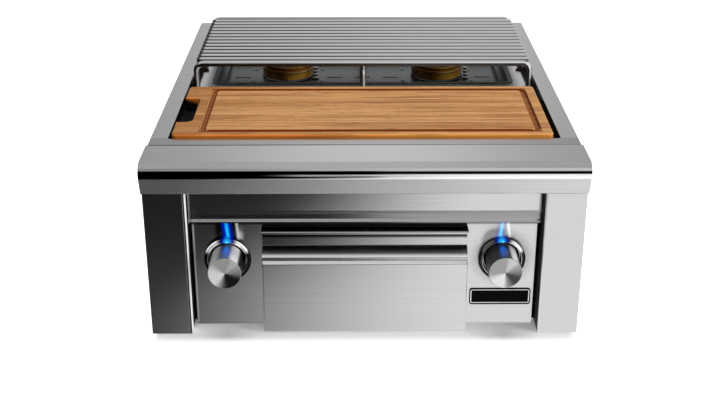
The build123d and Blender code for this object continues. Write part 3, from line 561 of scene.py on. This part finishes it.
dress(sheetSteel("fasciaSheet", brushedSheet, hemShade), "fascia_strip")
dress(sheetSteel("drawerSheet", brushedSheet, brightFolds), "drawer_front")
dress(sheetSteel("rightPostSheet", postSheet, darkReturn), "right_post")
dress(sheetSteel("pullSheet", brushedSheet, channelShade), "drawer_pull")
dress(sheetSteel("leftPostSheet", postSheet, litReturn), "left_post")
dress(sheetSteel("panelSheet", brushedSheet, panelGlow), "control_panel")
dress(sheetSteel("topSheet", topSheet, innerWall), "top_frame")
dress(sheetSteel("noseSheet", noseSheet, polishedRoll), "front_bullnose")
dress(sheetSteel("deckSheet", deckSheet, darkBay), "well_deck")
dress(sheetSteel("panSheet", panSheet, darkWalls), "burner_pan")
dress(sheetSteel("millSheet", millSheet), "base_pan", "rear_panel", "burner_brackets", "drip_tray",
      "pan_screws", *both("side_panel", "tray_rail"))
dress(sheetSteel("ringSteel", ringSheet), *both("burner_ring"))
print("sheet steel dressed")

# Polished rods and drawn pipe
rodSteel = {
    "dark": grey(0.7), "light": grey(0.92), "rough": 0.09, "lines": (9.0, 1400.0, 1400.0), "depth": 0.000002,
    "soil": (28.0, 28.0, 28.0), "soilShare": 0.4, "soilRough": 0.08,
}
pipeSteel = dict(rodSteel, dark=grey(0.3), light=grey(0.45), rough=0.34, depth=0.00001)


def drawnSteel(name, look, extra=None):
    material, steel = newFinish(name)
    place = steel.place()
    lines = steel.noise(place, look["lines"], detail=3.0)
    soil = steel.noise(place, look["soil"], detail=4.0, rough=0.6)
    steel.surface({
        "Base Color": steel.tint(between(lines, soil, look["soilShare"]), look["dark"], look["light"]),
        "Metallic": 1.0,
        "Roughness": look["rough"] + look["soilRough"] * (soil - 0.5),
        "Normal": steel.bump(lines, look["depth"]),
    }, extra)
    return material


# Grate: painted shade under the rods and at their left ends, legs painted light down the middle and dark on
# both sides, painted shade on the cut ends of the side bars
rodShade = {
    "tone": grey(0.02), "bright": grey(0.9), "under": (0.69, 0.38), "underShade": 0.84, "fore": 0.42,
    "paler": 0.12, "palerX": (-0.15, 0.1), "end": (0.008, 0.004), "endShade": 0.9, "legDull": 0.6,
    "legLeft": (0.2, -0.2), "legRight": (0.4, 0.75), "legRightShade": 0.9,
    "sideBar": 0.1, "cutFacing": (-0.7, -0.9),
}


def rodSides(steel, sockets):
    x, y, z = steel.axes(steel.place())
    nx, ny, nz = steel.facing()
    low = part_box("grate_rods")[0]
    leg = z < low.z
    fore = y < low.y  # the bent front rod stays bright further down
    under = (1 - leg) * steel.ramp(nz + rodShade["fore"] * fore, *rodShade["under"])
    underShade = between(rodShade["underShade"], 1, fore)
    underShade = underShade - rodShade["paler"] * steel.ramp(x, *rodShade["palerX"])
    end = (1 - leg) * steel.ramp(x, *shifted(low.x, rodShade["end"]))
    legRight = rodShade["legRightShade"] * steel.ramp(nx, *rodShade["legRight"])
    legSides = steel.larger(steel.ramp(nx, *rodShade["legLeft"]), legRight)
    dark = steel.larger(underShade * under + leg * legSides, rodShade["endShade"] * end)
    base = steel.tint(leg, sockets["Base Color"], rodShade["bright"])
    sockets["Base Color"] = steel.tint(dark, base, rodShade["tone"])
    sockets["Metallic"] = 1 - rodShade["legDull"] * leg


def barEnds(steel, sockets):
    rodSides(steel, sockets)
    x, y, z = steel.axes(steel.place())
    nx, ny, nz = steel.facing()
    cut = (abs(x) > rodShade["sideBar"]) * steel.ramp(ny, *rodShade["cutFacing"])
    sockets["Base Color"] = steel.tint(cut, sockets["Base Color"], rodShade["tone"])


dress(drawnSteel("rodSteel", rodSteel, rodSides), "grate_rods", "grate_front_rod", "grate_rear_rod")
dress(drawnSteel("barSteel", rodSteel, barEnds), "grate_bars")
dress(drawnSteel("pipeSteel", pipeSteel), "gas_manifold", "gas_inlet_pipe", *both("gas_tube", "valve_stem"))

# Knobs turned from bar: painted reflection in fans on the spun face, with a painted highlight on its chamfer,
# and painted reflection in stripes on the side
spunKnob = {
    "dark": grey(0.004), "light": grey(1.0), "rough": 0.3, "cutRough": 0.06, "metal": 0.08,
    "pitch": 2600.0, "cut": 0.00002, "cutTone": (0.6, 1.4), "core": 0.0001,
    "chamfer": (0.0226, 0.0232), "chamferTone": 0.8, "facing": (-0.6, -0.9),
}
knobFan = {  # painted reflection on the face: plain tone, then wedges: direction, where it starts and is full, tone
    "left": (0.42, [((-0.87, -0.5), 0.05, 1.0, 1.0), ((0.64, 0.77), 0.93, 1.0, 0.6),
                    ((0.6, -0.8), 0.1, 0.75, 0.22), ((0.6, -0.8), 0.55, 0.93, 0.0)]),
    "right": (0.4, [((-0.5, -0.87), 0.5, 1.0, 1.0), ((0.5, 0.87), 0.86, 1.0, 0.7),
                    ((0.82, -0.57), 0.4, 0.9, 0.2), ((0.82, -0.57), 0.8, 1.0, 0.02)]),
}
# painted reflection on the side, by facing, listed the same way
knobSide = {
    "left": (0.12, [((-0.8, 0.6), 0.75, 1.0, 0.55), ((0.6, 0.8), 0.9, 1.0, 0.95),
                    ((1.0, 0.0), 0.72, 0.86, 0.0)]),
    "right": (0.02, [((0.6, 0.8), 0.94, 1.0, 0.9), ((1.0, 0.0), 0.8, 0.92, 0.0)]),
}


def spunSteel(side):
    material, steel = newFinish(f"{side}SpunKnob")
    centre = middleOf(f"{side}_knob")
    x, y, z = steel.axes(steel.node("NewGeometry", out=0))  # the fans stay when the knob turns
    nx, ny, nz = steel.facing()
    out = steel.radius(x, z, centre) + spunKnob["core"]  # never zero
    cuts = steel.rings((out + y) * spunKnob["pitch"], detail=3.0)
    fan = steel.wedges((x - centre[0]) / out, (z - centre[1]) / out, *knobFan[side])
    chamfer = steel.ramp(out, *spunKnob["chamfer"]) * (x > centre[0])
    fan = between(fan, spunKnob["chamferTone"], chamfer)
    barrel = steel.wedges(nx, nz, *knobSide[side])
    tone = between(barrel, fan, steel.ramp(ny, *spunKnob["facing"]))
    tone = tone * between(*spunKnob["cutTone"], cuts)
    steel.surface({
        "Base Color": steel.tint(tone, spunKnob["dark"], spunKnob["light"]),
        "Metallic": spunKnob["metal"],
        "Roughness": spunKnob["rough"] + spunKnob["cutRough"] * cuts,
        "Normal": steel.bump(cuts, spunKnob["cut"]),
    })
    return material


# Mirror chrome on the bezels: painted highlights on the shoulders and the lip, the shoulders glowing a
# little, painted dark reflection at the sides, painted shade inside the bore and painted blue lamp light
# round the lamp
bezelChrome = {
    "dark": grey(0.02), "light": colour(0.95, 0.955, 0.96), "glint": grey(0.4), "rough": 0.04,
    "smudges": (60.0, 60.0, 60.0), "smudgeFrom": (0.5, 0.8), "smudgeRough": 0.06,
    "shoulderFoot": (0.3, 0.55), "shoulderTop": (0.97, 0.86), "rim": 0.0325, "rimSoft": 0.0008,
    "bore": 0.027, "lip": 0.0011, "lipSoft": 0.0003, "boreFacing": (0.6, 0.3), "boreRough": 0.85,
    "blueShift": 0.4, "halo": (0.0125, 0.002), "core": (0.0075, 0.001),
}
# Strength of the painted shoulder highlights, left and right of the middle
bezelShoulder = {"left": (1.0, 1.0), "right": (0.12, 0.7)}


def chrome(side):
    material, plating = newFinish(f"{side}BezelChrome")
    place = plating.place()
    x, y, z = plating.axes(place)
    nx, ny, nz = plating.facing()
    across, level = middleOf(f"{side}_bezel")
    out = plating.radius(x, z, (across, level))
    up = (z - level) / out
    shoulder = between(*bezelShoulder[side], x > across) * plating.ramp(up, *bezelChrome["shoulderFoot"])
    shoulder = shoulder * plating.ramp(up, *bezelChrome["shoulderTop"])
    shoulder = shoulder * plating.ramp(out, bezelChrome["rim"] + bezelChrome["rimSoft"], bezelChrome["rim"])
    boreEdge = bezelChrome["bore"] + bezelChrome["lip"]
    lip = plating.ramp(out, boreEdge + bezelChrome["lipSoft"], boreEdge)
    bore = plating.ramp(abs(ny), *bezelChrome["boreFacing"]) * (out < boreEdge)  # painted shade: dark and dull inside
    highlighted = (1 - bore) * plating.larger(shoulder, lip)
    lampX, lampZ = middleOf(f"{side}_lamp")
    blue = plating.radius(x, z, (lampX + bezelChrome["blueShift"] * streakSides[side]["shift"], lampZ))
    lit = plating.tint(shoulder, grey(0.0), bezelChrome["glint"])
    lit = plating.tint(plating.ramp(blue, *bezelChrome["halo"]), lit, lampStreak["deep"])
    lit = plating.tint(plating.ramp(blue, *bezelChrome["core"]), lit, lampStreak["cyan"])
    smudges = plating.noise(place, bezelChrome["smudges"], detail=4.0, rough=0.6)
    dull = bezelChrome["smudgeRough"] * plating.ramp(smudges, *bezelChrome["smudgeFrom"])
    plating.surface({
        "Base Color": plating.tint(highlighted, bezelChrome["dark"], bezelChrome["light"]),
        "Metallic": 1 - bore,
        "Roughness": bezelChrome["rough"] + dull + bezelChrome["boreRough"] * bore,
        "Emission Color": lit,
        "Emission Strength": 1.0,
    })
    return material


# Blue lamps, whiter at the core
lampLens = {
    "core": colour(0.12, 0.75, 1.0), "rim": colour(0.0, 0.2, 1.0), "rough": 0.15, "glow": 1.2, "size": 0.002,
}


def litLens(side):
    material, lens = newFinish(f"{side}LampLens")
    x, y, z = lens.axes(lens.place())
    out = lens.radius(x, z, middleOf(f"{side}_lamp")) / lampLens["size"]
    lit = lens.tint(out, lampLens["core"], lampLens["rim"])
    lens.surface({
        "Base Color": lit,
        "Roughness": lampLens["rough"],
        "Emission Color": lit,
        "Emission Strength": lampLens["glow"],
    })
    return material


for side in sides:
    dress(spunSteel(side), f"{side}_knob")
    dress(chrome(side), f"{side}_bezel")
    dress(litLens(side), f"{side}_lamp")
print("metal trim dressed")

# Enamel, plastic and ceramic: a fine peel and a little dust
smoothCoat = {
    "gloss": 0.5, "peels": (420.0, 420.0, 420.0), "dust": (90.0, 90.0, 90.0),
    "dustTone": (0.4, 0.8), "dustFrom": (0.45, 0.75), "dustRough": 0.12,
}
plateBlack = dict(smoothCoat, dark=grey(0.002), light=grey(0.006), rough=0.2, gloss=0.03, depth=0.000012)
screwBlack = dict(smoothCoat, dark=grey(0.004), light=grey(0.012), rough=0.3, gloss=0.06, depth=0.00003)
sleeveSteel = dict(smoothCoat, dark=grey(0.006), light=grey(0.02), rough=0.34, gloss=0.2, depth=0.00002)
modulePlastic = dict(smoothCoat, dark=grey(0.02), light=grey(0.05), rough=0.5, depth=0.00012)
ceramicWhite = dict(smoothCoat, dark=colour(0.7, 0.68, 0.62), light=colour(0.86, 0.85, 0.82), rough=0.5,
                    depth=0.00002)


def enamel(name, look, extra=None):
    material, coat = newFinish(name)
    place = coat.place()
    peel = coat.noise(place, look["peels"])
    dust = coat.noise(place, look["dust"], detail=5.0, rough=0.65)
    coat.surface({
        "Base Color": coat.tint(coat.ramp(dust, *look["dustTone"]), look["dark"], look["light"]),
        "Roughness": look["rough"] + look["dustRough"] * coat.ramp(dust, *look["dustFrom"]),
        "Specular IOR Level": look["gloss"],
        "Normal": coat.bump(peel, look["depth"]),
    }, extra)
    return material


lineLook = {"bright": grey(0.95), "metal": 0.5, "width": 0.0014, "soft": 0.0002, "corner": 0.0025}


def plateLine(coat, sockets):  # bright line round the plate, with rounded corners
    low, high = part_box("name_plate")
    x, y, z = coat.axes(coat.place())
    across, level = middleOf("name_plate")
    overX = coat.larger(abs(x - across) - (high.x - low.x) / 2 + lineLook["corner"], 0.0)
    overZ = coat.larger(abs(z - level) - (high.z - low.z) / 2 + lineLook["corner"], 0.0)
    inset = lineLook["corner"] - coat.radius(overX, overZ, (0.0, 0.0))
    bright = coat.ramp(inset, lineLook["width"] + lineLook["soft"], lineLook["width"])
    sockets["Base Color"] = coat.tint(bright, sockets["Base Color"], lineLook["bright"])
    sockets["Metallic"] = lineLook["metal"] * bright


sleeveRing = {"bright": grey(0.9), "pitch": 0.006, "share": 0.42}


def sleeveRings(coat, sockets):  # bright rings up the igniter sleeve
    x, y, z = coat.axes(coat.place())
    ring = coat.maths("FRACT", z / sleeveRing["pitch"]) < sleeveRing["share"]
    sockets["Base Color"] = coat.tint(ring, sockets["Base Color"], sleeveRing["bright"])


dress(enamel("borderBlack", plateBlack), "plate_border")
dress(enamel("plateBlack", plateBlack, plateLine), "name_plate")
dress(enamel("screwBlack", screwBlack), "deck_screws")
dress(enamel("modulePlastic", modulePlastic), "power_module", "cord_gland")
dress(enamel("sleeveSteel", sleeveSteel, sleeveRings), *both("igniter_shield"))
dress(enamel("ceramicWhite", ceramicWhite), *both("igniter"))

# Brass burners, machined, with painted shade on the faces turned left, darker round the caps, and a painted
# highlight line near the top of the head
burnerBrass = {
    "bright": colour(1.0, 0.54, 0.07), "dull": colour(0.62, 0.27, 0.03), "metal": 0.7, "rough": 0.22,
    "tarnish": (45.0, 45.0, 45.0), "tarnishFrom": (0.3, 0.7), "tarnishRough": 0.2, "tarnishDepth": 0.4,
    "pitch": 1500.0, "cutShare": 0.3, "depth": 0.000015,
    "darkTone": colour(0.07, 0.018, 0.004), "capDark": 0.6, "capReach": 0.004, "capUneven": 0.006,
    "shadeOnLeft": 0.92, "shadeFacing": (0.35, -0.35), "shadeUneven": 0.3,
    "lip": colour(1.0, 0.8, 0.36), "lit": 0.9, "lipUp": 0.0025, "lipHalf": (0.0014, 0.0006),
    "lipFacing": (-0.15, 0.2),
}
coldBrass = dict(burnerBrass, metal=1.0, capDark=0.0, shadeOnLeft=0.0, lit=0.0)
fittingBrass = dict(coldBrass, bright=colour(0.66, 0.46, 0.17), dull=colour(0.45, 0.29, 0.10), rough=0.3)
castBase = dict(coldBrass, bright=grey(0.55), dull=grey(0.4), rough=0.45, depth=0.0001)


def turnedBrass(name, look):
    material, brass = newFinish(name)
    place = brass.place()
    x, y, z = brass.axes(place)
    nx, ny, nz = brass.facing()
    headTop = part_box("left_burner_head")[1].z
    capLow, capHigh = headTop - look["capReach"], headTop + look["capReach"]
    cuts = brass.rings(z * look["pitch"])
    tarnish = brass.noise(place, look["tarnish"], detail=4.0, rough=0.6)
    worn = brass.ramp(between(tarnish, cuts, look["cutShare"]), *look["tarnishFrom"])
    metal = brass.tint(worn, look["dull"], look["bright"])
    capDark = look["capDark"] * brass.ramp(z + look["capUneven"] * (tarnish - 0.5), capLow, capHigh)
    # painted shade on the faces turned left
    shaded = look["shadeOnLeft"] * brass.ramp(nx + look["shadeUneven"] * (tarnish - 0.5), *look["shadeFacing"])
    # painted highlight line near the top of the head
    lip = look["lit"] * brass.ramp(abs(z - capLow - look["lipUp"]), *look["lipHalf"])
    lip = lip * brass.ramp(nx, *look["lipFacing"])
    darkened = brass.tint(1 - (1 - capDark) * (1 - shaded), metal, look["darkTone"])
    brass.surface({
        "Base Color": brass.tint(lip, darkened, look["lip"]),
        "Metallic": look["metal"],
        "Roughness": look["rough"] + look["tarnishRough"] * (tarnish - 0.5),
        "Normal": brass.bump(cuts + look["tarnishDepth"] * tarnish, look["depth"]),
    })
    return material


dress(turnedBrass("burnerBrass", burnerBrass), *both("burner_head", "burner_cap"))
dress(turnedBrass("fittingBrass", fittingBrass), "inlet_locknut",
      *both("valve_body", "orifice", "stem_collar"))
dress(turnedBrass("castBase", castBase), *both("burner_base"))
print("burners dressed")

# Bamboo board: glued strips with fine fibres and knots
bamboo = {
    "pale": colour(0.655, 0.335, 0.129), "honey": colour(0.385, 0.155, 0.041),
    "brown": colour(0.2, 0.055, 0.01), "rough": 0.45, "streakRough": 0.2, "grooveRough": 0.1, "gloss": 0.12,
    "strip": 0.0335, "firstStrip": 0.35, "stripShare": 0.3,
    "joint": colour(0.82, 0.5, 0.2), "jointFrom": (0.46, 0.495), "jointTint": 0.6,
    "streaks": (3.0, 105.0, 105.0), "streakFrom": (0.36, 0.64),
    "clouds": (3.0, 24.0, 24.0), "cloudShare": 0.3, "hairs": (20.0, 420.0, 420.0), "hairShare": 1.9,
    "fibres": (9.0, 140.0, 140.0), "fibreFrom": (0.52, 0.68), "fibreTint": 0.45,
    "knots": (7.0, 95.0, 95.0), "knotFrom": (0.735, 0.79), "knotTint": 0.85,
    "dashes": (80.0, 260.0, 260.0), "dashFrom": (0.55, 0.7), "dashTint": 0.3,
    "left": 0.25, "leftX": (-0.12, -0.2), "ledge": 0.4, "ledgeX": (0.05, 0.035),  # darker to the left
    "depth": 0.00008, "strength": 0.6, "jointDepth": 0.6, "knotDepth": 0.5,
}
# Juice groove round the top, painted darker, partly as shade in its hollow and paler along the ends, with
# painted shade on the walls facing left and a painted highlight on those facing right; the middle of each run
# measured from the board's edge
juiceGroove = {
    "left": 0.042, "right": 0.0195, "front": 0.0155, "rear": 0.0175,
    "half": 0.0052, "soft": 0.0003, "depth": 0.0034,
    "grooveDark": colour(0.2, 0.038, 0.003), "endPaler": 0.45, "hairs": 0.4, "hairFrom": (0.4, 0.6),
    "wall": colour(0.06, 0.014, 0.002), "wallTint": 0.85, "wallFacing": (-0.2, -0.6),
    "litTint": 0.7, "litFacing": (0.65, 0.85),
}
# Front and rear edges, and the hand notch in the left end, painted black as shade
boardEdge = {
    "left": colour(0.93, 0.28, 0.05), "right": colour(1.0, 0.4, 0.09), "tintX": (-0.12, 0.08),
    "facing": (0.4, 0.85), "inset": 0.008, "fibreFrom": (0.5, 0.66), "fibreTint": 0.4,
    "notch": 0.034, "notchTone": grey(0.004), "notchLean": 0.4, "notchZ": (0.002, -0.006),
    "notchFacing": (0.7, 0.4),
}


def boardBamboo():
    material, wood = newFinish("bamboo")
    low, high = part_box("cutting_board")
    place = wood.place()
    x, y, z = wood.axes(place)
    nx, ny, nz = wood.facing()

    row = (y - low.y) / bamboo["strip"] + bamboo["firstStrip"]
    luck = wood.chance(wood.maths("FLOOR", row))
    joint = wood.ramp(abs(wood.maths("FRACT", row) - 0.5), *bamboo["jointFrom"])
    fibres = wood.noise(place, bamboo["fibres"], detail=4.0, rough=0.62)
    streaks = wood.noise(place, bamboo["streaks"], detail=3.0, rough=0.62)
    clouds = wood.noise(place, bamboo["clouds"])
    hairs = wood.noise(place, bamboo["hairs"])
    knots = wood.ramp(wood.noise(place, bamboo["knots"]), *bamboo["knotFrom"])
    dashes = wood.ramp(wood.noise(place, bamboo["dashes"]), *bamboo["dashFrom"])
    spots = wood.larger(bamboo["knotTint"] * knots, bamboo["dashTint"] * dashes)
    shade = bamboo["stripShare"] * luck + wood.ramp(streaks, *bamboo["streakFrom"])
    shade = shade + bamboo["cloudShare"] * (clouds - 0.5) + bamboo["hairShare"] * (hairs - 0.5)
    shade = shade - bamboo["left"] * wood.ramp(x, *bamboo["leftX"])
    shade = shade - bamboo["ledge"] * wood.ramp(x, *shifted(low.x, bamboo["ledgeX"]))
    top = wood.tint(shade, bamboo["honey"], bamboo["pale"])
    top = wood.tint(bamboo["fibreTint"] * wood.ramp(fibres, *bamboo["fibreFrom"]), top, bamboo["brown"])
    top = wood.tint(bamboo["jointTint"] * joint, top, bamboo["joint"])
    top = wood.tint(spots, top, bamboo["brown"])

    across = wood.larger(low.x + juiceGroove["left"] - x, x - high.x + juiceGroove["right"])
    along = wood.larger(low.y + juiceGroove["front"] - y, y - high.y + juiceGroove["rear"])
    away = abs(wood.larger(across, along))
    # groove painted darker, partly as shade in its hollow
    grooveDark = wood.step(away, juiceGroove["half"], -juiceGroove["soft"]) * (z > high.z - juiceGroove["depth"])
    ends = across > along
    grain = juiceGroove["hairs"] * wood.ramp(hairs, *juiceGroove["hairFrom"])
    wall = juiceGroove["wallTint"] * grooveDark * ends * wood.ramp(nx, *juiceGroove["wallFacing"])
    litWall = juiceGroove["litTint"] * grooveDark * ends * wood.ramp(nx, *juiceGroove["litFacing"])
    top = wood.tint(grooveDark * (1 - juiceGroove["endPaler"] * ends + grain), top, juiceGroove["grooveDark"])
    top = wood.tint(wall, top, juiceGroove["wall"])
    top = wood.tint(litWall, top, bamboo["joint"])

    notchX, inset = low.x + boardEdge["notch"], boardEdge["inset"]
    deep = (y > low.y + inset) * (y < high.y - inset)
    side = wood.ramp(abs(ny), *boardEdge["facing"]) * (1 - deep * (x > notchX) * (x < high.x - inset))
    edgeFibres = boardEdge["fibreTint"] * wood.ramp(fibres, *boardEdge["fibreFrom"])
    edge = wood.tint(wood.ramp(x, *boardEdge["tintX"]), boardEdge["left"], boardEdge["right"])
    edge = wood.tint(edgeFibres, edge, bamboo["brown"])
    # painted shade in the hand notch
    notch = wood.ramp(z - boardEdge["notchLean"] * (low.x - x), *shifted(high.z, boardEdge["notchZ"]))
    notch = notch * deep * (x < notchX) * wood.ramp(nz, *boardEdge["notchFacing"])
    height = fibres - bamboo["jointDepth"] * joint - bamboo["knotDepth"] * knots
    dull = bamboo["streakRough"] * (streaks - 0.5) + bamboo["grooveRough"] * grooveDark
    wood.surface({
        "Base Color": wood.tint(notch, wood.tint(side, top, edge), boardEdge["notchTone"]),
        "Roughness": bamboo["rough"] + dull,
        "Specular IOR Level": bamboo["gloss"],
        "Normal": wood.bump(height, bamboo["depth"], bamboo["strength"]),
    })
    return material


dress(boardBamboo(), "cutting_board")
print("board dressed")

# Light thrown by the lamps on the knobs
lampGlow = {
    "colour": (0.0, 0.16, 1.0), "power": 0.018, "size": 0.011, "ahead": 0.003, "drop": 0.75, "spread": 75.0,
}


def blueGlow(side):
    across, level = middleOf(f"{side}_lamp")
    light = bpy.data.lights.new(f"{side}Glow", "SPOT")
    light.color = lampGlow["colour"]
    light.energy = lampGlow["power"]
    light.shadow_soft_size = lampGlow["size"]
    light.spot_size = radians(lampGlow["spread"])
    light.spot_blend = 1.0
    holder = bpy.data.objects.new(f"{side}Glow", light)
    holder.location = (across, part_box(f"{side}_lamp")[0].y - lampGlow["ahead"], level)
    holder.rotation_euler = Vector((0, -1, -lampGlow["drop"])).to_track_quat("-Z", "Y").to_euler()
    bpy.context.scene.collection.objects.link(holder)


for side in sides:
    blueGlow(side)
print("lamps lit")

bpy.context.scene.view_settings.view_transform = "Standard"
